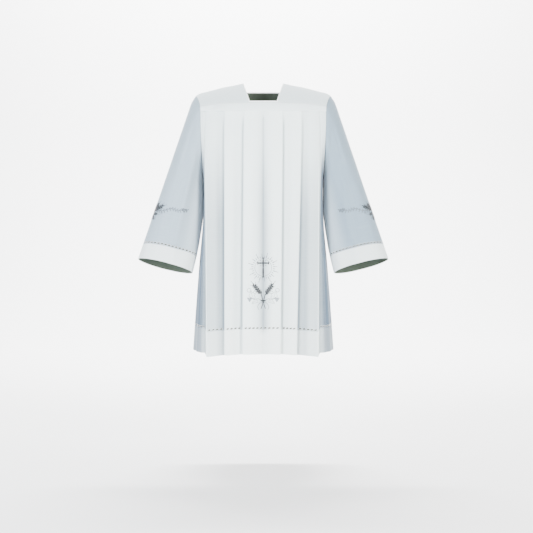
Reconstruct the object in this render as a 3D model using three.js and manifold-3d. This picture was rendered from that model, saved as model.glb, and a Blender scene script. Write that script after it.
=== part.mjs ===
// Pleated white cotta in its worn shape: a square neck, a front and a back yoke, knife-pleated
// front and back panels, and wide open sleeves, with a hemstitched deep hem on panels and sleeves.
// Millimetres. X runs across the garment, the front faces -Y and +Z is up. The origin is midway
// between the two neck points of the shoulder line, where the garment is held up.
import * as THREE from "three";
import { mergeGeometries, mergeVertices } from "three/addons/utils/BufferGeometryUtils.js";
import Module from "manifold-3d";

const wasm = await Module();
wasm.setup();

// Lengths down the garment, from the neck points
const garmentLength = 1000;
const pleatLine = 107;
const pressLine = 78;
const underarm = 350;
const hemDepth = 90;
const hemDip = 12;
const sideLift = 15;
const cuffHemDepth = 68;

// Neck opening: a square neck that narrows a little downwards
const neckTopHalf = 76;

// Shoulder tips and armholes
const shoulderHalf = 252;
const shoulderDrop = 45;
const armholeHalf = 232;
const underarmHalf = 224;
const deepestArmhole = 200;
const uprightArmhole = 300;

// Cloth
const wall = 1.2;
const yokeWall = 1.6;
const turnedHem = 0.8;
const pressedBand = 0.4;
const seamGap = 0.3;
const yokeOverhang = 0.9;
const flatness = 0.03;

// A pressed fold: the space between the middles of its two layers at the edge, which is wider in
// the doubled hem, and the soft crease down the middle of a panel
const foldSpace = 1.8;
const middleCrease = { depth: 2.2, half: 16 };

// Hemstitch openings: slanted slots drawn out of the cloth, a row round each hem
const slot = { length: 8, height: 4.4, reach: 5, pitch: 14.3, slant: 0.3, aboveHem: 7 };

// Line of the shoulder, out from the middle and down from the neck point
const shoulderLine = [
  { out: 0, drop: 0 },
  { out: 76, drop: 0 },
  { out: 110, drop: 7 },
  { out: 148, drop: 14 },
  { out: 180, drop: 22 },
  { out: 215, drop: 31 },
  { out: 238, drop: 37 },
  { out: shoulderHalf, drop: shoulderDrop },
];

// Body of the garment at heights below the neck point: half width at the side seams, how far the
// middle of each panel stands off the seams, how far its outer folds fall back from that, and how
// far a pleat's under layer lies behind its upper one
const body = [
  { down: 107, sideHalf: 238, foreReach: 108, foreFall: 27, rearReach: 92, rearFall: 20, lift: 4 },
  { down: 200, sideHalf: 234, foreReach: 121, foreFall: 25, rearReach: 112, rearFall: 18, lift: 4.8 },
  { down: 350, sideHalf: 224, foreReach: 128, foreFall: 20, rearReach: 118, rearFall: 16, lift: 6 },
  { down: 500, sideHalf: 226, foreReach: 134, foreFall: 16, rearReach: 116, rearFall: 14, lift: 7.2 },
  { down: 670, sideHalf: 241, foreReach: 143, foreFall: 14, rearReach: 124, rearFall: 13, lift: 8.6 },
  { down: 820, sideHalf: 253, foreReach: 151, foreFall: 12, rearReach: 136, rearFall: 12, lift: 9.8 },
  { down: 1012, sideHalf: 267, foreReach: 161, foreFall: 11, rearReach: 150, rearFall: 11, lift: 11 },
];

// Pleats of each panel, from the middle outwards: where the folded edge lies at the yoke and at
// the hem, and how far the cloth turns under it
const frontPleats = {
  right: [
    { top: 71, hem: 76, under: 34 },
    { top: 143, hem: 142, under: 34 },
    { top: 214, hem: 210, under: 42 },
  ],
  left: [
    { top: 72, hem: 63, under: 34 },
    { top: 143, hem: 122, under: 34 },
    { top: 207, hem: 204, under: 42 },
  ],
};
const backPleats = {
  right: [
    { top: 70, hem: 66, under: 34 },
    { top: 142, hem: 134, under: 34 },
    { top: 210, hem: 206, under: 42 },
  ],
  left: [
    { top: 71, hem: 74, under: 34 },
    { top: 141, hem: 139, under: 34 },
    { top: 210, hem: 208, under: 42 },
  ],
};

const front = {
  facing: -1, reach: "foreReach", fall: "foreFall", pleats: frontPleats,
  armholeReach: 87, neckDepth: 72, neckFootHalf: 51,
};
const back = {
  facing: 1, reach: "rearReach", fall: "rearFall", pleats: backPleats,
  armholeReach: 80, neckDepth: 30, neckFootHalf: 66,
};
// The wearer's sides: the left side is at +X
const sides = { left: 1, right: -1 };

// Cuff of the wearer's left sleeve: its outer and inner ends, and its half depth with the tilt
// that turns the opening forwards
const cuff = {
  outer: new THREE.Vector3(466, -75, -655),
  inner: new THREE.Vector3(264, -75, -705),
  halfDepth: 70,
  tilt: 16 * Math.PI / 180,
};
const capSwell = 7;
const underarmHang = 15;
const shoulderEase = 0.9;
const underarmEase = 1.5;

// Soft folds of the sleeves: where each starts and ends, around the half sleeve from the top
// seam and down it, its half width on the same scale and its depth
const sleeveFolds = {
  left: [
    { around: 0.42, down: 0.12, toAround: 0.6, toDown: 0.5, half: 0.13, depth: 7 },
    { around: 0.75, down: 0.35, toAround: 0.68, toDown: 0.95, half: 0.1, depth: 5 },
  ],
  right: [
    { around: 0.35, down: 0.2, toAround: 0.42, toDown: 0.9, half: 0.14, depth: 5 },
    { around: 0.7, down: 0.15, toAround: 0.74, toDown: 0.8, half: 0.1, depth: 6 },
  ],
};

// Smooth value of one column of a table at a place in its key column
function along(table, key, place, column) {
  const last = table.length - 1;
  if (place <= table[0][key]) return table[0][column];
  if (place >= table[last][key]) return table[last][column];
  let row = 0;
  while (place > table[row + 1][key]) row += 1;
  const rise = (from, to) => table[to][column] - table[from][column];
  const slope = (from, to) => rise(from, to) / (table[to][key] - table[from][key]);
  const here = slope(row, row + 1);
  const before = row > 0 ? (slope(row - 1, row) + here) / 2 : here;
  const after = row + 2 <= last ? (here + slope(row + 1, row + 2)) / 2 : here;
  const span = table[row + 1][key] - table[row][key];
  const s = (place - table[row][key]) / span;
  const startShare = 2 * s ** 3 - 3 * s ** 2 + 1;
  const bend = span * (before * (s ** 3 - 2 * s ** 2 + s) + after * (s ** 3 - s ** 2));
  return startShare * table[row][column] + (1 - startShare) * table[row + 1][column] + bend;
}

const mix = (from, to, share) => from + (to - from) * share;

function ease(share) {
  const s = Math.min(1, Math.max(0, share));
  return s * s * (3 - 2 * s);
}

const bodyAt = (down, column) => along(body, "down", down, column);

// Depth of a panel's folded edges in front of the side seams
function boardDepth(sheet, out, down) {
  const boardHalf = sheet.pleats.left[2].top;
  return bodyAt(down, sheet.reach) - bodyAt(down, sheet.fall) * (out / boardHalf) ** 2;
}

const shoulderAt = (out) => along(shoulderLine, "out", Math.abs(out), "drop");

// Depth of a yoke: level at the shoulder line and upright at the pleat line
function yokeDepth(sheet, out, down) {
  const roundness = 1.6;
  const top = shoulderAt(out);
  const share = Math.min(1, Math.max(0, (down - top) / (pleatLine - top)));
  return boardDepth(sheet, Math.abs(out), pleatLine) * (1 - (1 - share) ** roundness) ** (1 / roundness);
}

// The armhole's half of one sheet, by the height below the neck point. It is straight between
// its stations, which the yoke, the panel and the sleeve share
const armholeStations = [50, 56, 66, 84, 107, 150, 205, 250, 290, 325, 350];

function onStations(curve, down) {
  if (down <= armholeStations[0]) return curve(armholeStations[0]);
  const next = armholeStations.findIndex((station) => station >= down);
  if (next < 0) return curve(underarm);
  const [from, to] = [armholeStations[next - 1], armholeStations[next]];
  return mix(curve(from), curve(to), (down - from) / (to - from));
}

function armholeOut(down) {
  return onStations((station) => {
    if (station < pleatLine) {
      const share = (pleatLine - station) / (pleatLine - shoulderDrop);
      return armholeHalf + (shoulderHalf - armholeHalf) * share ** 2.2;
    }
    const share = (station - pleatLine) / (underarm - pleatLine);
    return armholeHalf + (underarmHalf - armholeHalf) * share ** 1.5;
  }, down);
}

function armholeDepth(sheet, down) {
  return onStations((station) => {
    if (station <= pleatLine) return yokeDepth(sheet, armholeOut(station), station);
    if (station <= deepestArmhole) {
      const start = yokeDepth(sheet, armholeHalf, pleatLine);
      const share = (deepestArmhole - station) / (deepestArmhole - pleatLine);
      return sheet.armholeReach - (sheet.armholeReach - start) * share ** 2;
    }
    const share = (station - deepestArmhole) / (underarm - deepestArmhole);
    return sheet.armholeReach * Math.sqrt(1 - share ** 2);
  }, down);
}

const place = (sheet, side, out, depth, down) =>
  new THREE.Vector3(sides[side] * out, sheet.facing * depth, -down);

// Folded edge of a pleat at a height
function foldEdge(sheet, side, pleat, down) {
  const { top, hem } = sheet.pleats[side][pleat];
  return mix(top, hem, (down - pleatLine) / (garmentLength - pleatLine));
}

const hemLine = garmentLength - hemDepth;
const foldSpaceAt = (down) => foldSpace + (down >= hemLine ? 2 * turnedHem : 0);

// How far a panel lies behind the line of the folded edges: fully back where it comes out from
// under a pleat, and up to that line at its own folded edge
function settle(sheet, side, panel, out, down) {
  if (panel === 0) {
    const share = out / middleCrease.half;
    return middleCrease.depth * Math.exp(-(share ** 2)) * ease((down - pleatLine) / 120);
  }
  const lift = bodyAt(down, "lift");
  const start = foldEdge(sheet, side, panel - 1, down) + foldSpaceAt(down);
  const end = foldEdge(sheet, side, panel, down) - foldSpaceAt(down);
  return lift * (1 - ease((out - start) / (end - start)));
}

function panelPoint(sheet, side, panel, out, down) {
  const depth = boardDepth(sheet, out, down) - settle(sheet, side, panel, out, down);
  return place(sheet, side, out, depth, down);
}

// The panel's side, from under its outer fold round to the armhole or the side seam
function sideEnd(sheet, down) {
  if (down < underarm) return { out: armholeOut(down), depth: armholeDepth(sheet, down) };
  return { out: bodyAt(down, "sideHalf"), depth: seamGap / 2 };
}

function sidePoint(sheet, side, share, down) {
  const squareness = 2.2;
  const edge = foldEdge(sheet, side, 2, down) + foldSpaceAt(down);
  const startDepth = boardDepth(sheet, edge, down) - bodyAt(down, "lift");
  const end = sideEnd(sheet, down);
  const turn = share * Math.PI / 2;
  const out = mix(edge, end.out, Math.sin(turn) ** (2 / squareness));
  const depth = mix(end.depth, startDepth, Math.cos(turn) ** (2 / squareness));
  return place(sheet, side, out, Math.max(depth, end.depth), down);
}

// Half of a panel's section, from its middle out: each panel, then the fold that turns under it
function halfSection(sheet, side, down) {
  const points = [];
  const lift = bodyAt(down, "lift");
  const space = foldSpaceAt(down);
  const nose = space / 2;
  for (const panel of [0, 1, 2]) {
    const edge = foldEdge(sheet, side, panel, down);
    const inner = edge - sheet.pleats[side][panel].under;
    const start = panel === 0 ? 0 : foldEdge(sheet, side, panel - 1, down) + space;
    const shares = panel === 0 ? [0, 0.22, 0.6] : [0, 0.5];
    for (const share of shares) {
      points.push(panelPoint(sheet, side, panel, mix(start, edge - nose, share), down));
    }
    const turned = [
      { out: edge - nose, behind: 0 },
      { out: edge, behind: nose },
      { out: edge - nose, behind: space },
      { out: inner + nose, behind: lift - space },
      { out: inner, behind: lift - nose },
      { out: inner + nose, behind: lift },
    ];
    for (const { out, behind } of turned) {
      points.push(place(sheet, side, out, boardDepth(sheet, out, down) - behind, down));
    }
  }
  for (const share of [0, 0.2, 0.38, 0.56, 0.76, 1]) {
    points.push(sidePoint(sheet, side, share, down));
  }
  return points;
}

// The hem hangs lowest at the outer folds of the panels, and steps up from them to the sides
function hemDrop(sheet, side, out, down) {
  const reach = Math.abs(out);
  const beyond = (reach - foldEdge(sheet, side, 2, down)) / (1.6 * foldSpaceAt(down));
  return hemDip * Math.min(1, reach / 212) ** 2 - sideLift * ease(beyond);
}

// Closed wall on a grid of points. A cell that isn't present is left open, and the wall goes
// outwards and inwards from the points by the amounts given for each row. At a seam the wall's
// edge is square to the axes that are named there, so that two pieces lie face to face
function clothWall(rows, { outward, inward, seam, present = () => true }) {
  const lines = rows.length;
  const columns = rows[0].length;
  const has = (i, j) => i >= 0 && j >= 0 && i < lines - 1 && j < columns - 1 && present(i, j);
  const faceNormal = (i, j) => {
    const across = new THREE.Vector3().subVectors(rows[i + 1][j + 1], rows[i][j]);
    const down = new THREE.Vector3().subVectors(rows[i + 1][j], rows[i][j + 1]);
    return across.cross(down).normalize();
  };
  const vertexNormal = (i, j) => {
    const faces = [[i - 1, j - 1], [i - 1, j], [i, j - 1], [i, j]].filter(([a, b]) => has(a, b));
    const sum = new THREE.Vector3();
    for (const [a, b] of faces) sum.add(faceNormal(a, b));
    const spread = faces.length ? sum.length() / faces.length : 1;
    for (const axis of seam(i, j)) sum[axis] = 0;
    const normal = sum.normalize();
    return normal.divideScalar(Math.max(spread, 0.75));
  };
  const positions = [];
  for (let i = 0; i < lines; i += 1) {
    for (let j = 0; j < columns; j += 1) {
      const normal = vertexNormal(i, j);
      const outer = rows[i][j].clone().addScaledVector(normal, outward(i));
      const inner = rows[i][j].clone().addScaledVector(normal, -inward(i));
      positions.push(...outer.toArray(), ...inner.toArray());
    }
  }
  const outerAt = (i, j) => 2 * (i * columns + j);
  const faces = [];
  const quad = (a, b, c, d) => faces.push([a, b, c], [a, c, d]);
  for (let i = 0; i < lines - 1; i += 1) {
    for (let j = 0; j < columns - 1; j += 1) {
      if (!has(i, j)) continue;
      const ring = [outerAt(i, j), outerAt(i, j + 1), outerAt(i + 1, j + 1), outerAt(i + 1, j)];
      const beyond = [[i - 1, j], [i, j + 1], [i + 1, j], [i, j - 1]];
      const [a, b, c, d] = ring;
      quad(a, b, c, d);
      quad(a + 1, d + 1, c + 1, b + 1);
      for (let edge = 0; edge < 4; edge += 1) {
        if (has(...beyond[edge])) continue;
        const from = ring[edge];
        const to = ring[(edge + 1) % 4];
        quad(to, from, from + 1, to + 1);
      }
    }
  }
  return closedGeometry(positions, faces);
}

// Geometry with only the points that its faces use, and the faces turned outwards
function closedGeometry(positions, faces) {
  const corner = (index) => new THREE.Vector3(...positions.slice(3 * index, 3 * index + 3));
  let volume = 0;
  for (const [a, b, c] of faces) volume += corner(a).dot(corner(b).cross(corner(c)));
  const turned = volume < 0 ? faces.map(([a, b, c]) => [a, c, b]) : faces;
  const used = [...new Set(turned.flat())];
  const renumbered = new Map(used.map((index, order) => [index, order]));
  const geometry = new THREE.BufferGeometry();
  const kept = used.flatMap((index) => positions.slice(3 * index, 3 * index + 3));
  geometry.setAttribute("position", new THREE.Float32BufferAttribute(kept, 3));
  geometry.setIndex(turned.flat().map((index) => renumbered.get(index)));
  return geometry;
}

// Cutting with hemstitch slots
function solidOf(geometry) {
  const bare = geometry.clone();
  bare.deleteAttribute("normal");
  bare.deleteAttribute("uv");
  const merged = mergeVertices(bare, 1e-4);
  return new wasm.Manifold(new wasm.Mesh({
    numProp: 3,
    vertProperties: Float32Array.from(merged.attributes.position.array),
    triVerts: Uint32Array.from(merged.index.array),
  }));
}

function geometryOf(solid) {
  const mesh = solid.getMesh();
  const geometry = new THREE.BufferGeometry();
  geometry.setAttribute("position", new THREE.Float32BufferAttribute(mesh.vertProperties, 3));
  geometry.setIndex([...mesh.triVerts]);
  return geometry;
}

// One slot through the cloth at a point of a surface that is given by its distance along the row
function slotAt(pointOn, distance) {
  const step = 1;
  const middle = pointOn(distance, 0);
  const across = pointOn(distance + step, 0).sub(pointOn(distance - step, 0)).normalize();
  const upward = pointOn(distance, -step).sub(pointOn(distance, step)).normalize();
  const outward = new THREE.Vector3().crossVectors(across, upward).normalize();
  const squared = new THREE.Vector3().crossVectors(outward, across);
  const box = new THREE.BoxGeometry(slot.length, slot.height, slot.reach);
  const leaning = across.x < 0 ? -slot.slant : slot.slant;
  box.applyMatrix4(new THREE.Matrix4().makeRotationZ(leaning));
  box.applyMatrix4(new THREE.Matrix4().makeBasis(across, squared, outward).setPosition(middle));
  return box;
}

// Slots spread evenly over a stretch of a row
function slotRow(pointOn, from, to) {
  const count = Math.floor((to - from) / slot.pitch);
  const start = (from + to) / 2 - slot.pitch * (count - 1) / 2;
  return Array.from({ length: count }, (_, index) => slotAt(pointOn, start + slot.pitch * index));
}

function withSlots(geometry, boxes) {
  const cut = solidOf(geometry).subtract(solidOf(mergeGeometries(boxes)));
  return geometryOf(cut.asOriginal().simplify(flatness));
}

// Panels
const panelHeights = [
  pleatLine + seamGap, ...armholeStations.filter((down) => down > pleatLine), 430, 560, 720,
  hemLine - 1.5, hemLine, garmentLength,
];

// The section at a height, let down a little where the hem hangs lower
function panelRow(sheet, down) {
  const share = ease((down - underarm) / (garmentLength - underarm));
  const topTuck = yokeOverhang * (1 - ease((down - pleatLine) / 60));
  const lowered = (side) => (point) => {
    point.z -= share * hemDrop(sheet, side, point.x, down);
    point.y -= sheet.facing * topTuck;
    return point;
  };
  const left = halfSection(sheet, "left", down).map(lowered("left"));
  const right = halfSection(sheet, "right", down).map(lowered("right"));
  return [...right.slice(1).reverse(), ...left];
}

const hemstitchDown = hemLine - slot.aboveHem;

// Slots of one half of a panel: on the three flat panels and round the side
function panelSlots(sheet, side) {
  const boxes = [];
  const margin = 3;
  for (const panel of [0, 1, 2]) {
    const start = panel === 0 ? 0 : foldEdge(sheet, side, panel - 1, hemLine) + foldSpace;
    const end = foldEdge(sheet, side, panel, hemLine) - foldSpace;
    const pointOn = (out, lower) => {
      const point = panelPoint(sheet, side, panel, out, hemstitchDown + lower);
      point.z -= hemDrop(sheet, side, out, hemstitchDown);
      return point;
    };
    boxes.push(...slotRow(pointOn, start + margin, end - margin));
  }
  const sideLength = 160;
  const pointOn = (distance, lower) => {
    const point = sidePoint(sheet, side, distance / sideLength, hemstitchDown + lower);
    point.z -= hemDrop(sheet, side, point.x, hemstitchDown);
    return point;
  };
  boxes.push(...slotRow(pointOn, margin, sideLength - 2 * margin));
  return boxes;
}

// The axes that a panel's edge is square to: its top, its side seams and the upright armholes
function panelSeam(down, atSide) {
  const top = down < pleatLine + 1 ? "z" : "";
  if (!atSide) return top;
  if (down >= underarm) return "y";
  return down < uprightArmhole ? `x${top}` : top;
}

function panelGeometry(sheet) {
  const rows = panelHeights.map((down) => panelRow(sheet, down));
  const doubled = (i) => (panelHeights[i] >= hemLine ? turnedHem : 0);
  const last = rows[0].length - 1;
  const cloth = clothWall(rows, {
    outward: () => wall / 2,
    inward: (i) => wall / 2 + doubled(i),
    seam: (i, j) => panelSeam(panelHeights[i], j === 0 || j === last),
  });
  return withSlots(cloth, [...panelSlots(sheet, "left"), ...panelSlots(sheet, "right")]);
}

// Yokes
const wingShares = [0, 0.28, 0.55, 0.8, 0.94, 1];
const footShares = [0, 0.5, 1];

function yokeRows(sheet) {
  const foot = sheet.neckDepth;
  const rows = [];
  for (const share of [0, 0.05, 0.2, 0.5, 1]) {
    rows.push({ share, height: foot, open: share < 1 });
  }
  const lower = [pressLine, pressLine + 1.5, (pressLine + pleatLine) / 2, pleatLine];
  if (foot < pressLine - 20) lower.unshift((foot + pressLine) / 2);
  for (const height of lower) rows.push({ share: 1, height, open: false });
  return rows;
}

function yokePoint(sheet, side, row, out) {
  const down = mix(shoulderAt(out), Math.max(row.height, shoulderAt(out)), row.share);
  return { down, point: place(sheet, side, out, yokeDepth(sheet, out, down), down) };
}

// Height of a row of the yoke at its armhole, spread between the shoulder tip and the pleat line
function yokeEdgeDown(sheet, row) {
  const share = row.height / pleatLine * row.share;
  return mix(shoulderDrop, pleatLine, share);
}

function yokeHalfRow(sheet, side, row) {
  const neckOut = mix(neckTopHalf, sheet.neckFootHalf, row.share);
  const edgeDown = yokeEdgeDown(sheet, row);
  const edgeOut = armholeOut(edgeDown);
  const edgeLevel = mix(shoulderAt(edgeOut), Math.max(row.height, shoulderAt(edgeOut)), row.share);
  const points = footShares.slice(0, -1).map((share) => {
    const out = neckOut * share;
    const down = row.open ? 0 : row.height;
    return place(sheet, side, out, yokeDepth(sheet, out, down), down);
  });
  for (const share of wingShares) {
    const out = mix(neckOut, edgeOut, share);
    const level = yokePoint(sheet, side, row, out).down;
    const down = level + (edgeDown - edgeLevel) * share ** 3;
    const depth = share === 1 ? armholeDepth(sheet, down) : yokeDepth(sheet, out, down);
    points.push(place(sheet, side, out, Math.max(depth, seamGap / 2), down));
  }
  return points;
}

function yokeSeam(row, atFoot, atArmhole) {
  const top = row.share === 0 ? "y" : "";
  const foot = atFoot ? "z" : "";
  return `${top}${foot}${atArmhole ? "x" : ""}`;
}

function yokeGeometry(sheet) {
  const rows = yokeRows(sheet);
  const grid = rows.map((row) => [
    ...yokeHalfRow(sheet, "right", row).slice(1).reverse(),
    ...yokeHalfRow(sheet, "left", row),
  ]);
  const wings = wingShares.length - 1;
  const last = 2 * (wings + footShares.length - 1);
  const band = (i) => (rows[i].height > pressLine ? pressedBand : 0);
  return clothWall(grid, {
    outward: (i) => yokeWall / 2 + band(i),
    inward: () => yokeWall / 2,
    seam: (i, j) => yokeSeam(rows[i], i === rows.length - 1, j === 0 || j === last),
    present: (i, j) => !rows[i].open || j < wings || j >= last - wings,
  });
}

// Sleeves: ruled between the armhole and the cuff. Both lines are walked by the share of their
// length from the top seam to the underarm seam. Below the armhole the underside hangs in against
// the body
function walker(line) {
  const reached = [0];
  for (let i = 1; i < line.length; i += 1) {
    reached.push(reached[i - 1] + line[i].distanceTo(line[i - 1]));
  }
  const total = reached[reached.length - 1];
  const pointAt = (share) => {
    const wanted = Math.min(1, Math.max(0, share)) * total;
    let i = 0;
    while (i < line.length - 2 && reached[i + 1] < wanted) i += 1;
    return line[i].clone().lerp(line[i + 1], (wanted - reached[i]) / (reached[i + 1] - reached[i]));
  };
  return { pointAt, shares: reached.map((length) => length / total) };
}

function armholeLine(sheet, side) {
  return walker(armholeStations.map((down) => {
    const low = ease((down - deepestArmhole) / (uprightArmhole - deepestArmhole));
    const beside = seamGap + underarmEase * low;
    const capEase = shoulderEase * ease((pleatLine - down) / (pleatLine - shoulderDrop));
    return place(sheet, side, armholeOut(down) + beside + capEase, armholeDepth(sheet, down), down);
  }));
}

function cuffLine(sheet, side) {
  const fineSteps = 120;
  const middle = cuff.outer.clone().add(cuff.inner).multiplyScalar(0.5);
  const outward = cuff.outer.clone().sub(middle);
  const forward = new THREE.Vector3(0, Math.cos(cuff.tilt), -Math.sin(cuff.tilt));
  forward.multiplyScalar(cuff.halfDepth * sheet.facing);
  return walker(Array.from({ length: fineSteps + 1 }, (_, order) => {
    const turn = Math.PI * order / fineSteps;
    const point = middle.clone().addScaledVector(outward, Math.cos(turn));
    point.addScaledVector(forward, Math.sin(turn));
    point.x *= sides[side];
    return point;
  }));
}

// Depth of the soft folds at a place on a half sleeve
function sleeveCrease(side, around, down) {
  let depth = 0;
  for (const fold of sleeveFolds[side]) {
    const run = { x: fold.toAround - fold.around, y: fold.toDown - fold.down };
    const length = Math.hypot(run.x, run.y);
    const share = ((around - fold.around) * run.x + (down - fold.down) * run.y) / length ** 2;
    const near = Math.min(1, Math.max(0, share));
    const aside = Math.hypot(around - fold.around - run.x * near, down - fold.down - run.y * near);
    depth += fold.depth * Math.exp(-((aside / fold.half) ** 2));
  }
  return depth;
}

function sleeveSurface(sheet, side) {
  const top = armholeLine(sheet, side);
  const foot = cuffLine(sheet, side);
  return (around, down) => {
    const point = top.pointAt(around).lerp(foot.pointAt(around), down);
    const swell = capSwell * ease(down / 0.05) * (1 - down) * (1 - around * 0.75);
    const hang = underarmHang * Math.sin(Math.PI * down ** 1.15) * ease((around - 0.6) / 0.4);
    const softened = sleeveCrease(side, around, down) * ease(down / 0.12) * Math.sin(Math.PI * around);
    point.x += sides[side] * (swell - hang);
    point.y += sheet.facing * (seamGap / 2 - softened);
    return point;
  };
}

const sleeveSlant = 620;
const cuffShare = 1 - cuffHemDepth / sleeveSlant;
const sleeveDowns = [0, 0.015, 0.05, 0.18, 0.36, 0.54, 0.72, cuffShare - 0.003, cuffShare, 1];

function sleeveGeometry(sheet, side) {
  const surface = sleeveSurface(sheet, side);
  const arounds = armholeLine(sheet, side).shares;
  const rows = sleeveDowns.map((down) => arounds.map((around) => surface(around, down)));
  const doubled = (i) => (sleeveDowns[i] >= cuffShare ? turnedHem : 0);
  const cloth = clothWall(rows, wallTurned(sheet, side, doubled));
  const halfRound = 265;
  const pointOn = (distance, lower) => {
    const down = cuffShare + (lower - slot.aboveHem) / sleeveSlant;
    return surface(distance / halfRound, down);
  };
  return withSlots(cloth, slotRow(pointOn, 4, halfRound - 4));
}

// Which way the grid's normals point depends on the half of the sleeve
function wallTurned(sheet, side, doubled) {
  const outwards = sheet.facing * sides[side] < 0;
  const single = () => wall / 2;
  const thick = (i) => wall / 2 + doubled(i);
  const last = armholeStations.length - 1;
  const seam = (i, j) => {
    const level = j === 0 || j === last ? "y" : "";
    return i === 0 && armholeStations[j] <= uprightArmhole ? `${level}x` : level;
  };
  return outwards
    ? { outward: single, inward: thick, seam }
    : { outward: thick, inward: single, seam };
}

// Finishes
const batiste = new THREE.MeshStandardMaterial({ color: 0xe2e7e8, roughness: 0.78, metalness: 0 });
const pleatedBatiste = new THREE.MeshStandardMaterial({ color: 0xe6eaea, roughness: 0.78, metalness: 0 });
const sleeveBatiste = new THREE.MeshStandardMaterial({ color: 0xd6dee4, roughness: 0.8, metalness: 0 });

function named(name, geometry, material) {
  geometry.computeVertexNormals();
  const mesh = new THREE.Mesh(geometry, material);
  mesh.name = name;
  return mesh;
}

const cotta = new THREE.Group();
cotta.add(named("yoke_front", yokeGeometry(front), batiste));
cotta.add(named("yoke_back", yokeGeometry(back), batiste));
cotta.add(named("front_panel", panelGeometry(front), pleatedBatiste));
cotta.add(named("back_panel", panelGeometry(back), pleatedBatiste));
for (const side of ["left", "right"]) {
  cotta.add(named(`sleeve_${side}_front`, sleeveGeometry(front, side), sleeveBatiste));
  cotta.add(named(`sleeve_${side}_back`, sleeveGeometry(back, side), sleeveBatiste));
}

export default cotta;
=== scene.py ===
# Pleated white cotta in its worn shape, dressed over its solids: cotton batiste with pressed knife
# pleats, hemstitched deep hems, a bound square neck and silver-grey silk embroidery.
# Sizes are in millimetres and are turned to metres where a mesh is made. X runs across the
# garment, the front faces -Y and +Z is up. The origin is midway between the two neck points.
import math

import bmesh
import bpy
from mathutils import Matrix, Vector


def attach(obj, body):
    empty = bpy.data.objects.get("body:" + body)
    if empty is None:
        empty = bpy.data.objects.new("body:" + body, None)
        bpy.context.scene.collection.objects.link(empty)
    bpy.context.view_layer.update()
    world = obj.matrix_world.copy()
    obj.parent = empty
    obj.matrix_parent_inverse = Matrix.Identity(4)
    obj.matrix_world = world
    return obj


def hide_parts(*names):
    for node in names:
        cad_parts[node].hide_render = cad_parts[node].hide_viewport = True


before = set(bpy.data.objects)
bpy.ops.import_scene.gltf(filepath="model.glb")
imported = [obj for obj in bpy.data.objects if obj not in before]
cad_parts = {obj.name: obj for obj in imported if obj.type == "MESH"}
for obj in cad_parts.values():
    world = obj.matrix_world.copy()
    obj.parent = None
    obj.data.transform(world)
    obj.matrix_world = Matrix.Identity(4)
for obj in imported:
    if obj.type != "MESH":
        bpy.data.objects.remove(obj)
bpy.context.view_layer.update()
MM = 0.001

# Lengths down the garment from the neck points, half widths, and thicknesses of the cloth
garment_length = 1000
pleat_line = 107
press_line = 78
underarm = 350
hem_line = 910
hem_dip = 12
lowest_at = 212
side_lift = 15
neck_top_half = 76
shoulder_half = 252
shoulder_drop = 45
armhole_half = 232
underarm_half = 224
deepest_armhole = 200
wall = 0.9
hem_wall = 1.6
yoke_wall = 1.3
tucked_top = 104

shoulder_line = [(0, 0), (76, 0), (110, 7), (148, 14), (180, 22), (215, 31), (238, 37), (252, 45)]

# Height, half width at the side seams, reach of the front and how far its outer folds fall back,
# the same for the back, and how far a pleat's under layer lies behind its upper one
body = [
    (107, 238, 108, 27, 92, 20, 4.0),
    (200, 234, 121, 25, 112, 18, 4.8),
    (350, 224, 128, 20, 118, 16, 6.0),
    (500, 226, 134, 16, 116, 14, 7.2),
    (670, 241, 143, 14, 124, 13, 8.6),
    (820, 253, 151, 12, 136, 12, 9.8),
    (1012, 267, 161, 11, 150, 11, 11.0),
]
side_half, fore_reach, fore_fall, rear_reach, rear_fall, pleat_lift = 1, 2, 3, 4, 5, 6

# A sheet's pleats, from the middle out: folded edge at the yoke, at the hem, and cloth turned under.
# Its creases are soft troughs, or ridges where the depth is negative: from a place across and
# down to another, with a half width and a depth
front = {
    "facing": -1, "reach": fore_reach, "fall": fore_fall, "armhole_reach": 87,
    "neck_depth": 72, "neck_foot_half": 51,
    "pleats": {
        -1: [(71, 76, 34), (143, 142, 34), (214, 210, 42)],
        1: [(72, 63, 34), (143, 122, 34), (207, 204, 42)],
    },
    "creases": [
        (1, 112, 2, 1000, 7, 4.6), (0, 125, -3, 1000, 20, 1.6),
        (-92, 200, -98, 960, 15, 1.8), (-116, 380, -122, 990, 13, -1.9),
        (-160, 300, -156, 1000, 12, 3.4), (-190, 160, -186, 760, 17, -2.2),
        (-180, 620, -176, 1000, 13, 1.7), (-36, 220, -44, 820, 18, -1.9),
        (36, 160, 30, 700, 15, -2.0), (48, 480, 42, 1000, 13, 1.6),
        (98, 180, 88, 820, 13, 2.0), (116, 420, 102, 1000, 12, -1.8),
        (158, 260, 146, 1000, 13, 3.6), (184, 160, 172, 820, 15, -2.4),
        (196, 560, 188, 1000, 9, 1.6), (-64, 112, -58, 210, 9, 1.4), (60, 112, 58, 230, 8, 1.3),
        (-132, 112, -128, 230, 9, 1.3), (130, 112, 128, 210, 9, 1.5),
    ],
    "side_folds": {
        -1: [(0.32, 300, 0.36, 1000, 0.09, 5.5), (0.66, 420, 0.6, 1000, 0.1, 7.0)],
        1: [(0.4, 280, 0.34, 1000, 0.1, 6.0), (0.72, 480, 0.68, 1000, 0.09, 5.0)],
    },
}
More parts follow.
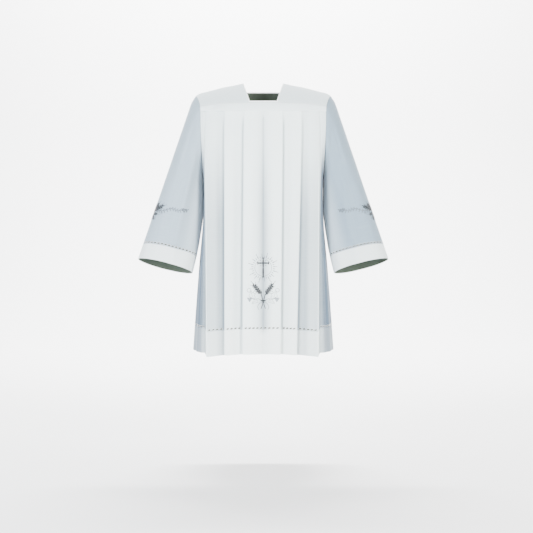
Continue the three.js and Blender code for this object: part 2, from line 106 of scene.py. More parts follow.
back = {
    "facing": 1, "reach": rear_reach, "fall": rear_fall, "armhole_reach": 80,
    "neck_depth": 30, "neck_foot_half": 66,
    "pleats": {
        -1: [(70, 66, 34), (142, 134, 34), (210, 206, 42)],
        1: [(71, 74, 34), (141, 139, 34), (210, 208, 42)],
    },
    "creases": [
        (0, 112, -2, 1000, 7, 4.2), (-4, 300, 3, 1000, 19, 1.8),
        (-40, 200, -34, 900, 16, -2.0), (44, 260, 50, 1000, 17, -1.8), (24, 420, 28, 800, 10, 1.5),
        (-96, 240, -90, 1000, 15, 2.2), (-122, 300, -114, 860, 12, -2.0),
        (-164, 220, -158, 1000, 14, 3.2), (-190, 380, -184, 1000, 13, -2.0),
        (92, 200, 98, 880, 13, 2.2), (118, 380, 122, 1000, 14, -1.8),
        (160, 300, 158, 1000, 14, 3.0), (186, 180, 184, 700, 15, -2.4),
        (-62, 112, -58, 220, 9, 1.4), (62, 112, 60, 210, 8, 1.3), (-132, 112, -130, 240, 9, 1.4),
    ],
    "side_folds": {
        -1: [(0.36, 320, 0.42, 1000, 0.1, 6.0), (0.7, 460, 0.66, 1000, 0.09, 5.0)],
        1: [(0.3, 300, 0.34, 1000, 0.09, 5.0), (0.62, 400, 0.68, 1000, 0.11, 7.0)],
    },
}

# The wearer's left side is at +X. Sleeve folds run from a place around the half sleeve and down
# it to another, with a half width on the same scale and a depth
left, right = 1, -1
side_names = {left: "left", right: "right"}
sleeve_slant = 620
cuff_depth = 55
cuff_share = 1 - cuff_depth / sleeve_slant
half_round = 265
long_folds = {
    left: [(0.42, 0.12, 0.6, 0.5, 0.13, 7), (0.75, 0.35, 0.68, 0.95, 0.1, 5)],
    right: [(0.35, 0.2, 0.42, 0.9, 0.14, 5), (0.7, 0.15, 0.74, 0.8, 0.1, 6)],
}
sleeve_folds = {
    (left, -1): long_folds[left] + [
        (0.2, 0.05, 0.36, 0.34, 0.05, 3.5), (0.34, 0.5, 0.42, 1.0, 0.07, 3),
        (0.55, 0.56, 0.55, 1.0, 0.05, -3), (0.88, 0.3, 0.9, 0.9, 0.05, 3), (0.14, 0.4, 0.2, 0.98, 0.06, -3),
    ],
    (right, -1): long_folds[right] + [
        (0.24, 0.06, 0.3, 0.3, 0.05, 3), (0.54, 0.3, 0.58, 1.0, 0.06, -3.5),
        (0.2, 0.45, 0.24, 1.0, 0.06, 3), (0.9, 0.4, 0.88, 1.0, 0.05, 3.5),
    ],
    (left, 1): long_folds[left] + [
        (0.26, 0.4, 0.3, 1.0, 0.06, 3), (0.5, 0.55, 0.5, 1.0, 0.06, -3), (0.88, 0.25, 0.9, 0.8, 0.06, 4),
    ],
    (right, 1): long_folds[right] + [
        (0.56, 0.4, 0.54, 1.0, 0.07, -3.5), (0.2, 0.3, 0.22, 0.9, 0.06, 3), (0.9, 0.5, 0.92, 1.0, 0.05, 3),
    ],
}
cuff_outer = Vector((466, -75, -655))
cuff_inner = Vector((264, -75, -705))
cuff_half_depth = 70
cuff_tilt = math.radians(16)
cap_swell = 7
underarm_hang = 15

# Hemstitch slots, the band of cloth that they are drawn in, and how far they lie above a cuff's hem
slot_length, slot_height, slot_pitch, slot_slant = 8.6, 5.2, 14.3, 0.3
slot_down = 903
band_half = 6
slot_above_cuff = 7


def mix(start, end, share):
    return start + (end - start) * share


def clamp(share):
    return min(1, max(0, share))


def ease(share):
    s = clamp(share)
    return s * s * (3 - 2 * s)


def along(table, place, column):
    """Smooth value of one column of a table at a place in its first column."""
    if place <= table[0][0]:
        return table[0][column]
    if place >= table[-1][0]:
        return table[-1][column]
    row = 0
    while place > table[row + 1][0]:
        row += 1

    def slope(a, b):
        return (table[b][column] - table[a][column]) / (table[b][0] - table[a][0])

    here = slope(row, row + 1)
    before = (slope(row - 1, row) + here) / 2 if row else here
    after = (here + slope(row + 1, row + 2)) / 2 if row + 2 < len(table) else here
    span = table[row + 1][0] - table[row][0]
    s = (place - table[row][0]) / span
    start_share = 2 * s ** 3 - 3 * s ** 2 + 1
    bend = span * (before * (s ** 3 - 2 * s ** 2 + s) + after * (s ** 3 - s ** 2))
    return start_share * table[row][column] + (1 - start_share) * table[row + 1][column] + bend


def shoulder_at(out):
    return along(shoulder_line, abs(out), 1)


def board_depth(sheet, out, down):
    """Depth of a panel's folded edges in front of the side seams."""
    board_half = sheet["pleats"][left][2][0]
    return along(body, down, sheet["reach"]) - along(body, down, sheet["fall"]) * (out / board_half) ** 2


def yoke_depth(sheet, out, down):
    """Depth of a yoke, level at the shoulder line and upright at the pleat line."""
    roundness = 1.6
    top = shoulder_at(out)
    share = clamp((down - top) / (pleat_line - top))
    return board_depth(sheet, abs(out), pleat_line) * (1 - (1 - share) ** roundness) ** (1 / roundness)


def armhole_out(down):
    if down < pleat_line:
        share = (pleat_line - max(down, shoulder_drop)) / (pleat_line - shoulder_drop)
        return armhole_half + (shoulder_half - armhole_half) * share ** 2.2
    share = min(1, (down - pleat_line) / (underarm - pleat_line))
    return armhole_half + (underarm_half - armhole_half) * share ** 1.5


def armhole_depth(sheet, down):
    if down <= pleat_line:
        return yoke_depth(sheet, armhole_out(down), down)
    if down <= deepest_armhole:
        start = yoke_depth(sheet, armhole_half, pleat_line)
        share = (deepest_armhole - down) / (deepest_armhole - pleat_line)
        return sheet["armhole_reach"] - (sheet["armhole_reach"] - start) * share ** 2
    share = min(1, (down - deepest_armhole) / (underarm - deepest_armhole))
    return sheet["armhole_reach"] * math.sqrt(1 - share ** 2)


def crease_depth(creases, place, down, scale):
    """Depth of the creases at a place: each is full along its middle and fades over its ends."""
    depth = 0
    for from_place, from_down, to_place, to_down, half, deep in creases:
        run = to_down - from_down
        share = (down - from_down) / run
        aside = (place - mix(from_place, to_place, clamp(share))) / half
        beyond = max(0, -share, share - 1) * run / scale
        depth += deep * math.exp(-aside * aside - beyond * beyond)
    return depth


# Panels: pressed knife pleats below the yoke

def fold_edge(sheet, side, pleat, down):
    top, hem, _ = sheet["pleats"][side][pleat]
    return mix(top, hem, (down - pleat_line) / (garment_length - pleat_line))


def turned_under(sheet, side, pleat):
    return sheet["pleats"][side][pleat][2]


def fold_space(down):
    """Space between the two layers of a fold, wider where the hem doubles them."""
    return 1.8 + 1.6 * ease((down - hem_line + 10) / 14)


def soft_edge(sheet, side, panel, out, down):
    """A folded edge rolls off softly under the yoke and is crisp further down."""
    edge = fold_edge(sheet, side, panel, down)
    roll = 2.0 * (1 - ease((down - pleat_line) / 75)) + 0.3
    return roll * math.exp(-(max(0, edge - out) / 9) ** 2)


def panel_depth(sheet, side, panel, out, down):
    """Depth of a panel's outer face: back under the pleat beside it, out to its own fold."""
    depth = board_depth(sheet, out, down)
    space = fold_space(down)
    if panel:
        start = fold_edge(sheet, side, panel - 1, down) + space
        end = fold_edge(sheet, side, panel, down) - space
        depth -= along(body, down, pleat_lift) * (1 - ease((out - start) / (end - start)))
        depth -= 4.2 * math.exp(-((out - start) / 6) ** 2) * ease((down - 116) / 80)
        near = ease((out - start) / 12)
    else:
        near = 1
    near *= ease((fold_edge(sheet, side, panel, down) - out) / 9)
    creased = crease_depth(sheet["creases"], side * out, down, 90)
    return depth - soft_edge(sheet, side, panel, out, down) - creased * near * ease((down - 106) / 30)


def hem_drop(sheet, side, out, down):
    """The hem hangs lowest at the outer folds, and steps up from them to the sides."""
    reach = abs(out)
    beyond = (reach - fold_edge(sheet, side, 2, down)) / (1.6 * fold_space(down))
    return hem_dip * min(1, reach / lowest_at) ** 2 - side_lift * ease(beyond)


def hung(sheet, side, out, depth, down):
    """A point of a panel, let down at the hem and tucked under the yoke at the top."""
    drop = ease((down - underarm) / (garment_length - underarm)) * hem_drop(sheet, side, out, down)
    tuck = 0.9 * (1 - ease((down - pleat_line) / 60))
    return Vector((side * out, sheet["facing"] * (depth - tuck), -down - drop))


def panel_point(sheet, side, panel, out, down):
    return hung(sheet, side, out, panel_depth(sheet, side, panel, out, down), down)


def side_point(sheet, side, share, down):
    """The panel's side, from under its outer fold round to the armhole or the side seam."""
    squareness = 2.2
    edge = fold_edge(sheet, side, 2, down) + fold_space(down)
    start_depth = board_depth(sheet, edge, down) - along(body, down, pleat_lift)
    if down < underarm:
        end_out, end_depth = armhole_out(down), armhole_depth(sheet, down)
    else:
        end_out, end_depth = along(body, down, side_half), 0
    turn = share * math.pi / 2
    out = mix(edge, end_out, math.sin(turn) ** (2 / squareness))
    depth = max(mix(end_depth, start_depth, math.cos(turn) ** (2 / squareness)), end_depth)
    fold = crease_depth(sheet["side_folds"][side], share, down, 130)
    fold *= math.sin(math.pi * share) * ease((down - 240) / 200)
    return hung(sheet, side, out - fold * math.sin(turn), depth - fold * math.cos(turn), down)


# How far the three panels of a half are drawn towards painted shade, from the middle out: low
# down, where their own pleat doesn't back them, and close beside the pleat over them, as its
# painted shadow. Layers turned under look alike
low_sheer, bare_sheer, painted_fold_shadow = (0, 0.06, 0.46), (0, 0.12, 0.2), (0, 0.45, 0.2)
under_sheer = 0.1


def sheer_and_shade_at(sheet, side, panel, out, down):
    """How far a panel's colour is drawn towards painted shade, as sheer cloth over the dark hollow
    and where less light falls: least over the cloth that its own pleat turns under it, and at the
    hem, and most low down beside the pleats furthest out. The middle panel is painted darker along
    its middle and in its middle crease, and each other panel close beside the pleat over it, as
    that pleat's painted shadow."""
    edge = fold_edge(sheet, side, panel, down)
    backed = ease((out - edge + turned_under(sheet, side, panel) + 8) / 16)
    low = 0.25 + 0.75 * ease((down - 130) / 420)
    if panel == 0:
        # Painted shade along the middle of the panel, and a painted crease line down its middle
        wide = 0.48 * math.exp(-(out / 17) ** 2) * (1 - 0.7 * ease((down - hem_line) / 20))
        painted_crease_shade = 0.4 * math.exp(-(out / 2.6) ** 2) * ease((down - 112) / 30)
        painted_crease_shade *= 1 - 0.6 * ease((down - 300) / 300)
        return min(1, low * (0.1 * (1 - backed) + wide) + painted_crease_shade)
    start = fold_edge(sheet, side, panel - 1, down)
    # The pleat over the panel casts a painted shadow close beside it
    beside = painted_fold_shadow[panel] * math.exp(-(max(0, out - start - 2) / 5) ** 2) * ease((down - 114) / 50)
    return min(1, low * (low_sheer[panel] + (1 - backed) * bare_sheer[panel]) + beside)


def side_sheer_and_shade(share, down):
    """The sides are drawn towards painted shade, as sheer cloth over the dark hollow and where they turn
    away from the light, most low down, and most of all beside the underarms, as the sleeves' painted shade.
    """
    shaded = 0.5 * math.exp(-((down - 360) / 120) ** 2) * ease(share / 0.35)
    low = 0.2 + 0.8 * ease((down - 200) / 320)
    return min(1, low * (0.75 + 0.25 * ease(share / 0.3)) + shaded)


flat_spaces = 12
flat_margin = 3
side_shares = [0, 0.03] + [0.03 + 0.94 * n / 20 for n in range(1, 21)] + [1]


def flat_range(sheet, side, panel, down):
    """The flat middle of a panel, between the margins beside its folds."""
    space = fold_space(down)
    start = fold_edge(sheet, side, panel - 1, down) + space + flat_margin if panel else 0
    return start, fold_edge(sheet, side, panel, down) - space / 2 - flat_margin


def slot_count(width):
    return max(1, round(width / slot_pitch))


def backed_share(sheet, side, panel):
    """From which share of a panel's flat middle its own pleat lies behind it, in whole slots."""
    start, end = flat_range(sheet, side, panel, slot_down)
    inner = fold_edge(sheet, side, panel, slot_down) - turned_under(sheet, side, panel)
    count = slot_count(end - start)
    return math.ceil((inner + 4 - start) / (end - start) * count) / count


def turned_layers(sheet, side, panel, down):
    """The two layers behind a panel at a height: how far behind the folded edges each lies. They
    lie against each other and follow the creases of the panel over them."""
    edge = fold_edge(sheet, side, panel, down)
    inner = edge - turned_under(sheet, side, panel)
    lift = along(body, down, pleat_lift)
    space = fold_space(down)
    nose = space / 2
    rolled = board_depth(sheet, edge - nose, down) - panel_depth(sheet, side, panel, edge - nose, down)

    def upper(out):
        share = (edge - nose - out) / (edge - inner - space)
        free = mix(mix(rolled, 0, min(1, share * 3)) + space, lift - space, share)
        over = board_depth(sheet, out, down) - panel_depth(sheet, side, panel, min(out, edge - nose), down)
        return max(free, over + space)

    def lower(out):
        return max(lift, upper(min(out, edge - nose)) + space) if out < edge - nose else lift

    return upper, lower


def half_section(sheet, side, down):
    """Half of a panel's section from its middle out, and which spaces of it lie flat."""
    points, flat, tint_and_shade = [], [], []
    lift = along(body, down, pleat_lift)
    space = fold_space(down)
    nose = space / 2
    turns = [math.pi * n / 6 for n in range(1, 6)]
    for panel in (0, 1, 2):
        edge = fold_edge(sheet, side, panel, down)
        inner = edge - turned_under(sheet, side, panel)
        start, end = flat_range(sheet, side, panel, down)
        if panel:
            points.append(panel_point(sheet, side, panel, start - flat_margin, down))
            flat.append(False)
            tint_and_shade.append(sheer_and_shade_at(sheet, side, panel, start, down))
        for n in range(flat_spaces + 1):
            out = mix(start, end, (n / flat_spaces) ** 1.3)
            points.append(panel_point(sheet, side, panel, out, down))
            flat.append(n < flat_spaces)
            tint_and_shade.append(sheer_and_shade_at(sheet, side, panel, out, down))
        points.append(panel_point(sheet, side, panel, edge - nose, down))
        upper, lower = turned_layers(sheet, side, panel, down)
        rolled = upper(edge - nose) - space
        backed = mix(start, end, backed_share(sheet, side, panel))
        inside = mix(backed, end, 0.5)
        turned = [(edge - nose + nose * math.sin(t), rolled + nose * (1 - math.cos(t))) for t in turns]
        turned += [(out, upper(out)) for out in (edge - nose, end, inside, backed, inner + nose)]
        deepest = upper(inner + nose)
        turned += [(inner + nose - nose * math.sin(t), deepest + nose * (1 - math.cos(t))) for t in turns]
        turned += [(out, lower(out)) for out in (inner + nose, backed, inside, end, edge)]
        for out, behind in turned:
            points.append(hung(sheet, side, out, board_depth(sheet, out, down) - behind, down))
        flat += [False] * 7 + [True, True] + [False] * 8 + [True, True] + [False, False]
        tint_and_shade += [under_sheer] * (len(turned) + 1)
    for n, share in enumerate(side_shares):
        points.append(side_point(sheet, side, share, down))
        flat.append(0 < n < len(side_shares) - 2)
        tint_and_shade.append(side_sheer_and_shade(share, down))
    return points, flat, tint_and_shade


def row_heights():
    heights = [tucked_top, pleat_line, 110, 114, 119, 125, 132, 140]
    heights += [140 + (slot_down - band_half - 140) * n / 72 for n in range(1, 73)]
    heights += [slot_down + band_half, hem_line + 4, hem_line + 12]
    heights += [hem_line + 12 + 76 * n / 8 for n in range(1, 9)]
    return heights + [garment_length - 0.9, garment_length - 0.3, garment_length]


def hem_roll(down, end):
    """The folded edge of a hem is round: how far it turns in, close to its end."""
    left_over = (end - down) / 1.2
    return 1.1 * (1 - math.sqrt(max(0, 1 - max(0, 1 - left_over) ** 2)))


# Finishes

def linear(code):
    """Linear colour of an sRGB hex value."""
    def channel(text):
        value = int(text, 16) / 255
        return value / 12.92 if value <= 0.04045 else ((value + 0.055) / 1.055) ** 2.4
    return (*(channel(code[k:k + 2]) for k in (1, 3, 5)), 1.0)


def add(tree, kind, settings=None, links=None):
    """Adds a node with its settings and links. A key that is no property is an input."""
    made = tree.nodes.new(kind)
    for key, value in (settings or {}).items():
        if isinstance(key, str) and hasattr(made, key):
            setattr(made, key, value)
        else:
            made.inputs[key].default_value = value
    for key, source in (links or {}).items():
        tree.links.new(source, made.inputs[key])
    return made


def new_material(name, colour, values):
    """A material and its shader, with the shader's constants set on its sockets."""
    material = bpy.data.materials.new(name)
    material.use_nodes = True
    shader = material.node_tree.nodes["Principled BSDF"]
    shader.inputs["Base Color"].default_value = linear(colour)
    for key, value in values.items():
        shader.inputs[key].default_value = value
    return material, shader


def batiste(name, colour, shade, hem_from=None, doubled_colour=None, painted_shade_kept_in_hem=0):
    """Cotton batiste: plain woven from fine white thread and pressed. It is matt and even, with a
    faint fuzz at its turned edges. Its threads lie 0.3 mm apart, far too fine to show, so only
    their unevenness is drawn, as streaks 5 mm wide. Its colour is drawn towards a shade colour:
    painted shade of the dark hollow behind it where it is sheer, and painted shade where less
    light falls on it. Where the hem doubles it, it is whiter, but keeps part of that painted shade."""
    material, shader = new_material(name, colour, {
        "Roughness": 0.82, "Specular IOR Level": 0.28, "Sheen Weight": 0.22, "Sheen Roughness": 0.5})
    tree = material.node_tree
    weave = add(tree, "ShaderNodeUVMap", {"uv_map": "weave"})
    streaks = {}
    for n, scale in enumerate(((200, 12, 1), (14, 220, 1))):
        run = add(tree, "ShaderNodeMapping", {"Scale": scale}, {"Vector": weave.outputs["UV"]})
        noise = add(tree, "ShaderNodeTexNoise", {"Scale": 1, "Detail": 2}, {"Vector": run.outputs[0]})
        streaks[n] = noise.outputs["Fac"]
    threads = add(tree, "ShaderNodeMath", {"operation": "ADD"}, streaks)
    relief = add(tree, "ShaderNodeBump", {"Strength": 0.12, "Distance": 0.0006},
                 {"Height": threads.outputs[0]})
    tree.links.new(relief.outputs["Normal"], shader.inputs["Normal"])
    uneven = add(tree, "ShaderNodeMath", {"operation": "MULTIPLY_ADD", 1: 0.06, 2: -0.06},
                 {0: threads.outputs[0]})
    sheer_and_shade = add(tree, "ShaderNodeAttribute", {"attribute_name": "sheer_and_shade"})
    veiled_and_shaded = add(tree, "ShaderNodeMath", {"operation": "ADD", "use_clamp": True},
                 {0: sheer_and_shade.outputs["Fac"], 1: uneven.outputs[0]})
    cloth = add(tree, "ShaderNodeMix", {"data_type": "RGBA", 6: linear(colour), 7: linear(shade)},
                {"Factor": veiled_and_shaded.outputs[0]})
    if hem_from is None:
        tree.links.new(cloth.outputs[2], shader.inputs["Base Color"])
        return material
    split = add(tree, "ShaderNodeSeparateXYZ", {}, {0: weave.outputs["UV"]})
    in_hem = add(tree, "ShaderNodeMath", {"operation": "LESS_THAN", 1: -hem_from * MM},
                 {0: split.outputs["Y"]})
    covering = add(tree, "ShaderNodeMath", {"operation": "MULTIPLY_ADD", 1: -painted_shade_kept_in_hem, 2: 0.7},
                   {0: veiled_and_shaded.outputs[0]})
    whitened = add(tree, "ShaderNodeMath", {"operation": "MULTIPLY"},
                   {0: in_hem.outputs[0], 1: covering.outputs[0]})
    whole = add(tree, "ShaderNodeMix", {"data_type": "RGBA", 7: linear(doubled_colour)},
                {"Factor": whitened.outputs[0], 6: cloth.outputs[2]})
    tree.links.new(whole.outputs[2], shader.inputs["Base Color"])
    return material


def thread(name, colour, roughness):
    """Cotton or silk thread laid side by side, or narrow bound cloth. Silk is filament thread, so
    its satin stitch is smooth with a soft gleam along it; cotton is duller."""
    return new_material(name, colour, {"Roughness": roughness, "Sheen Weight": 0.1})[0]


# The yokes and sleeves are the same white cloth as the panels, and their darker colours are painted shade.
# The inner side is the same cloth too. It lies in the garment's own shade, and its dark colour is painted
# shade
yoke_batiste = batiste("batiste of the yokes", "#dce8ea", "#8ea0ab")
panel_batiste = batiste("pleated batiste", "#e6f2f2", "#4d6072", hem_line - 1, "#f3faf8", 0.55)
sleeve_batiste = batiste("batiste of the sleeves", "#d6e4ea", "#44627a",
                         cuff_share * sleeve_slant - 1, "#eef6f5")
inner_batiste_in_painted_shade = batiste("inner side of the batiste in painted shade", "#4c574b", "#434e44")
sewing_cotton = thread("white sewing cotton", "#f2f3f1", 0.7)
bound_edge = thread("bias binding of white batiste", "#f4f8f7", 0.8)
silver_silk = thread("silver-grey silk", "#1c2227", 0.45)
pale_silk = thread("pale grey silk", "#5a656e", 0.5)


def finish(piece, slot):
    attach(piece, "root")


def new_object(name, data):
    made = bpy.data.objects.new(name, data)
    bpy.context.collection.objects.link(made)
    return made


def new_mesh(name, points, faces):
    data = bpy.data.meshes.new(name)
    data.from_pydata(points, [], faces)
    data.polygons.foreach_set("use_smooth", [True] * len(faces))
    return data


def select_only(piece):
    bpy.ops.object.select_all(action="DESELECT")
    bpy.context.view_layer.objects.active = piece
    piece.select_set(True)


def lengths_along(points):
    """How far along a line each of its points lies."""
    reached = [0]
    for a, b in zip(points, points[1:]):
        reached.append(reached[-1] + (b - a).length)
    return reached


# Making a sheet of cloth from a grid of points

def grid_normals(rows, closed, turned):
    last_line, last_column = len(rows) - 1, len(rows[0]) - 1
    normals = []
    for i, row in enumerate(rows):
        line = []
        for j in range(last_column + 1):
            before = last_column - 1 if closed and j == 0 else max(0, j - 1)
            after = 1 if closed and j == last_column else min(last_column, j + 1)
            across = row[after] - row[before]
            down = rows[min(last_line, i + 1)][j] - rows[max(0, i - 1)][j]
            line.append(across.cross(down).normalized() * turned)
        normals.append(line)
    return normals


def lifted(rows, normals, height):
    """The grid with each row moved outwards by its own height."""
    return [[p + n * height(i) for p, n in zip(*pair)] for i, pair in enumerate(zip(rows, normals))]


def cloth_piece(name, material, rows, downs, doubled, skip, cells, turned, sheer_and_shade,
                thickness=wall, hem_thickness=hem_wall):
    """A sheet of cloth: its grid without the skipped spaces, and the cells drawn round its slots.
    Each point carries how far its colour is drawn towards shade: painted shade of the dark hollow
    behind where a single layer lets it show, and painted shade where less light falls. Its wall
    goes inwards, and is thicker where the hem is doubled."""
    mesh = bmesh.new()
    sheer_and_shade_layer = mesh.verts.layers.float.new("sheer_and_shade")
    texture = mesh.loops.layers.uv.new("weave")
    group = mesh.verts.layers.deform.new()
    made, places = [], {}
    for i, row in enumerate(rows):
        reached = lengths_along(row)
        line = []
        for j, point in enumerate(row):
            vert = mesh.verts.new(point * MM)
            vert[group][0] = doubled(i)
            vert[sheer_and_shade_layer] = sheer_and_shade(i, j)
            places[vert] = ((reached[j] - reached[len(row) // 2]) * MM, -downs[i] * MM)
            line.append(vert)
        made.append(line)
    for i in range(len(rows) - 1):
        for j in range(len(rows[0]) - 1):
            if not skip(i, j):
                ring = [made[i][j], made[i][j + 1], made[i + 1][j + 1], made[i + 1][j]]
                mesh.faces.new(ring if turned > 0 else ring[::-1])
    for corners in cells:
        ring = []
        for point, place, tint_and_shade in corners:
            vert = mesh.verts.new(point * MM)
            vert[sheer_and_shade_layer] = tint_and_shade
            places[vert] = (place[0] * MM, place[1] * MM)
            ring.append(vert)
        mesh.faces.new(ring)
    for face in mesh.faces:
        face.smooth = True
        for loop in face.loops:
            loop[texture].uv = places[loop.vert]
    bmesh.ops.delete(mesh, geom=[v for v in mesh.verts if not v.link_faces], context="VERTS")
    bmesh.ops.remove_doubles(mesh, verts=mesh.verts, dist=0.00003)
    bmesh.ops.dissolve_degenerate(mesh, edges=mesh.edges, dist=0.000002)
    for edge in mesh.edges:
        edge.smooth = not edge.is_boundary
    data = bpy.data.meshes.new(name)
    mesh.to_mesh(data)
    mesh.free()
    piece = new_object(name, data)
    piece.vertex_groups.new(name="doubled")
    data.materials.append(material)
    # The inner shell takes the inner side's painted shade
    data.materials.append(inner_batiste_in_painted_shade)
    select_only(piece)
    solid = piece.modifiers.new("wall", "SOLIDIFY")
    solid.thickness = hem_thickness * MM
    solid.offset = -1
    solid.use_even_offset = False
    solid.material_offset = 1
    solid.vertex_group = "doubled"
    solid.thickness_vertex_group = thickness / hem_thickness
    bpy.ops.object.modifier_apply(modifier=solid.name)
    return piece


def slot_cells(surface, start, end, wide, outwards, lean):
    """The band's cells over a stretch of a row: each is a frame of four faces round one slot."""
    count = slot_count((end - start) * wide)
    pitch = (end - start) / count
    cells, slots = [], []
    cos, sin = math.cos(slot_slant), math.sin(slot_slant) * lean
    for n in range(count):
        middle = start + pitch * (n + 0.5)
        frame_corners = [(-pitch / 2, -band_half), (pitch / 2, -band_half),
                         (pitch / 2, band_half), (-pitch / 2, band_half)]
        hole = []
        for x, y in [(-1, -1), (1, -1), (1, 1), (-1, 1)]:
            a, b = x * slot_length / 2, y * slot_height / 2
            hole.append(((a * cos - b * sin) / wide, a * sin + b * cos))
        outer_at = [surface(middle + x, y) for x, y in frame_corners]
        hole_at = [surface(middle + x, y) for x, y in hole]
        slots.append([(middle + x, y) for x, y in hole])
        for k in range(4):
            following = (k + 1) % 4
            ring = [outer_at[k], outer_at[following], hole_at[following], hole_at[k]]
            normal = (ring[1][0] - ring[0][0]).cross(ring[3][0] - ring[0][0])
            cells.append(ring if normal.dot(outwards(ring[0][0])) > 0 else ring[::-1])
    return cells, slots


across_scale = 1.9
side_start, side_width, side_middle = 440, 165, 150


def panel_surface(sheet, side, panel, layer):
    """A panel's outer face, or a layer turned under it, by the share across its flat middle and
    the distance below the slots: the point, its place in the weave, and how far its colour is drawn
    towards painted shade."""
    def surface(share, lower):
        down = slot_down + lower
        out = mix(*flat_range(sheet, side, panel, down), share)
        place = (side * out * across_scale, -down)
        if layer is None:
            tint_and_shade = sheer_and_shade_at(sheet, side, panel, out, down)
            return panel_point(sheet, side, panel, out, down), place, tint_and_shade
        depth = board_depth(sheet, out, down) - turned_layers(sheet, side, panel, down)[layer](out)
        return hung(sheet, side, out, depth, down), place, under_sheer
    return surface


def make_panel(sheet, name):
    heights = row_heights()
    rows, flats, tints_and_shades = [], [], []
    for down in heights:
        left_half, left_flat, left_tints_and_shades = half_section(sheet, left, down)
        right_half, right_flat, right_tints_and_shades = half_section(sheet, right, down)
        rows.append(right_half[1:][::-1] + left_half)
        flats.append(right_flat[:-1][::-1] + left_flat[:-1])
        tints_and_shades.append(right_tints_and_shades[1:][::-1] + left_tints_and_shades)
    facing = sheet["facing"]
    normals = grid_normals(rows, False, facing)
    rows = lifted(rows, normals, lambda i: -hem_roll(heights[i], garment_length))
    band_row = heights.index(slot_down - band_half)
    cells, stitches = [], []
    for side in (left, right):
        for panel in (0, 1, 2):
            start, end = flat_range(sheet, side, panel, slot_down)
            backed = backed_share(sheet, side, panel)
            # The outer face, then the two layers behind it that the pleat turns under
            for layer, first, turn in ((None, 0, 1), (0, backed, -1), (1, backed, 1)):
                surface = panel_surface(sheet, side, panel, layer)
                outwards = Vector((0, facing * turn, 0))
                made, slots = slot_cells(surface, first, 1, end - start, lambda p: outwards, -side)
                cells += made
                if layer is None:
                    stitches.append((surface, slots, end - start, outwards))

        def side_surface(share, lower, side=side):
            down = slot_down + lower
            place = (side * (side_start + side_width * share), -down)
            return side_point(sheet, side, share, down), place, side_sheer_and_shade(share, down)

        made, slots = slot_cells(side_surface, side_shares[1], side_shares[-2], side_width,
                                 lambda p: Vector((p.x - side * side_middle, p.y, 0)), -side)
        cells += made
        stitches.append((side_surface, slots, side_width, Vector((side, facing, 0))))
    piece = cloth_piece(
        name, panel_batiste, rows, heights, lambda i: ease((heights[i] - hem_line) / 2),
        lambda i, j: i == band_row and flats[i][j], cells, facing, lambda i, j: tints_and_shades[i][j],
    )
    return piece, stitches


# Yokes

neck_columns, yoke_columns = 8, 26


def yoke_half_row(sheet, side, share, height, opened):
    neck_out = mix(neck_top_half, sheet["neck_foot_half"], share)
    edge_down = mix(shoulder_drop, pleat_line, height / pleat_line * share)
    edge_out = armhole_out(edge_down)

    def level_at(out):
        return mix(shoulder_at(out), max(height, shoulder_at(out)), share)

    points = []
    for n in range(neck_columns):
        out = neck_out * n / neck_columns
        down = 0 if opened else height
        points.append((out, down, yoke_depth(sheet, out, down)))
    for n in range(yoke_columns + 1):
        reach = 1 - (1 - n / yoke_columns) ** 1.25
        out = mix(neck_out, edge_out, reach)
        down = level_at(out) + (edge_down - level_at(edge_out)) * reach ** 3
        depth = armhole_depth(sheet, down) if n == yoke_columns else yoke_depth(sheet, out, down)
        points.append((out, down, max(depth, 0)))
    return [Vector((side * out, sheet["facing"] * depth, -down)) for out, down, depth in points]


# Soft drags of the yokes, from the neck towards the shoulder tips
yoke_drags = {
    -1: [(-110, 30, -190, 95, 13, 1.6), (118, 26, 196, 92, 14, 1.8), (-150, 40, -160, 100, 11, -1.3),
         (-72, 40, -96, 100, 10, 1.2), (80, 44, 100, 100, 10, 1.2), (208, 60, 214, 104, 9, 1.3)],
    1: [(-100, 30, -180, 96, 13, 1.7), (106, 28, 190, 96, 13, 1.6), (0, 50, 4, 100, 22, 1.3),
        (-200, 60, -210, 104, 9, 1.3), (150, 40, 158, 100, 12, -1.3)],
}


def make_yoke(sheet, name):
    """A yoke. Each step down it has a share of the way to the foot of the neck, a height, and
    whether it is open at the neck."""
    foot, facing = sheet["neck_depth"], sheet["facing"]
    opened = 16
    steps = [(n / opened, foot, True) for n in range(opened)] + [(1, foot, False)]
    count = max(1, round((press_line - foot) / 6))
    steps += [(1, mix(foot, press_line, n / count), False) for n in range(1, count + 1)]
    steps += [(1, down, False) for down in (78.5, 79.2, 80, 84, 89, 94, 99, 103, 105.4, 106.5, 107)]
    downs = [height * share for share, height, _ in steps]
    rows = []
    for step in steps:
        half = {side: yoke_half_row(sheet, side, *step) for side in (left, right)}
        rows.append(half[right][1:][::-1] + half[left])
    normals = grid_normals(rows, False, facing)

    def raised(i):
        band = 0.9 * ease((steps[i][1] - press_line) / 1.2) if steps[i][0] == 1 else 0
        return 0.7 + band - 0.8 * hem_roll(downs[i], pleat_line)

    rows = lifted(rows, normals, raised)
    for row, line in zip(rows, normals):
        for j, point in enumerate(row):
            fade = ease((abs(point.x) - 60) / 30) * ease((240 - abs(point.x)) / 20) * ease(-point.z / 30)
            dent = crease_depth(yoke_drags[facing], point.x, -point.z, 20) * fade
            row[j] = point - line[j] * dent
    middle = len(rows[0]) // 2
    return cloth_piece(
        name, yoke_batiste, rows, downs, lambda i: 0,
        lambda i, j: steps[i][2] and middle - neck_columns <= j < middle + neck_columns,
        [], facing, lambda i, j: 0.25 * (1 - ease((downs[i] - 74) / 6)), yoke_wall, yoke_wall,
    )


# Sleeves

def walker(line):
    reached = lengths_along(line)

    def point_at(share):
        wanted = clamp(share) * reached[-1]
        i = 0
        while i < len(line) - 2 and reached[i + 1] < wanted:
            i += 1
        return line[i].lerp(line[i + 1], (wanted - reached[i]) / (reached[i + 1] - reached[i]))

    return point_at


